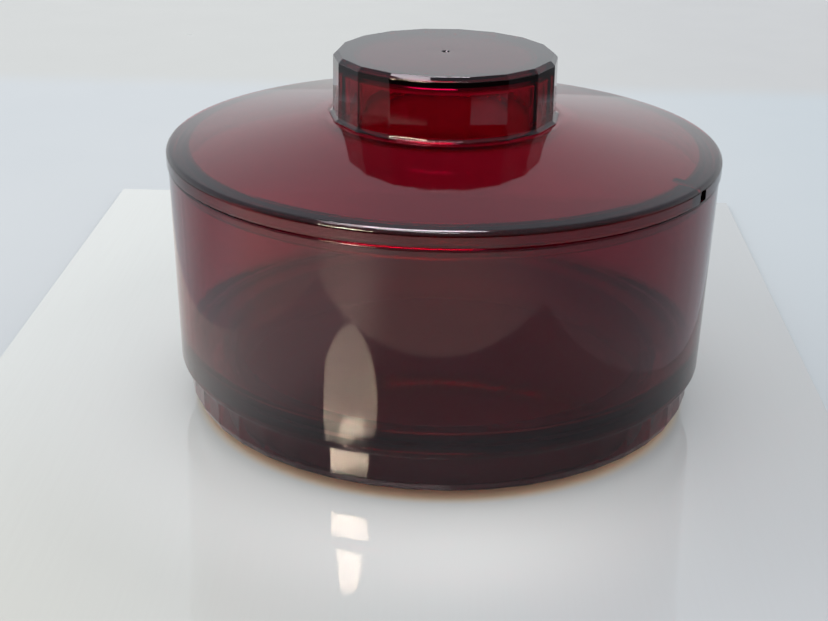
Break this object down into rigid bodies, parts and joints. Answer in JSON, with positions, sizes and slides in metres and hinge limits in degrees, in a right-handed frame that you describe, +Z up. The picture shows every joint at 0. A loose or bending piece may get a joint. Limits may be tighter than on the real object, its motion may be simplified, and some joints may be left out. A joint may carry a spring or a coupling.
{
  "type": "yarn bowl",
  "caption": "Round lidded yarn bowl in clear ruby plastic, with a slightly tapered wall, a faceted skirt round its base, a low conical lift-off lid, a yarn slot in its rim and a faceted knob.",
  "frame": {"origin": "centre of the standing ring's underside, on the axis of the bowl", "axes": "+Z up along the bowl's axis, -Y towards the viewer, +X to the viewer's right; the yarn slot in the lid's rim points about 30 degrees forward of +X"},
  "size_m": [0.155, 0.155, 0.1006],
  "materials": {
    "ruby_bowl": "polished transparent dark ruby plastic",
    "ruby_lid": "polished transparent ruby plastic",
    "ruby_knob": "polished transparent ruby plastic, flat facets"
  },
  "bodies": {
    "bowl": {"bowl": "ruby_bowl"},
    "lid": {"lid": "ruby_lid", "knob": "ruby_knob"}
  },
  "joints": [
    {"name": "lid_lift", "type": "slide", "parent": "bowl", "child": "lid", "axis": [0, 0, 1], "range_m": [0, 0.11]}
  ]
}
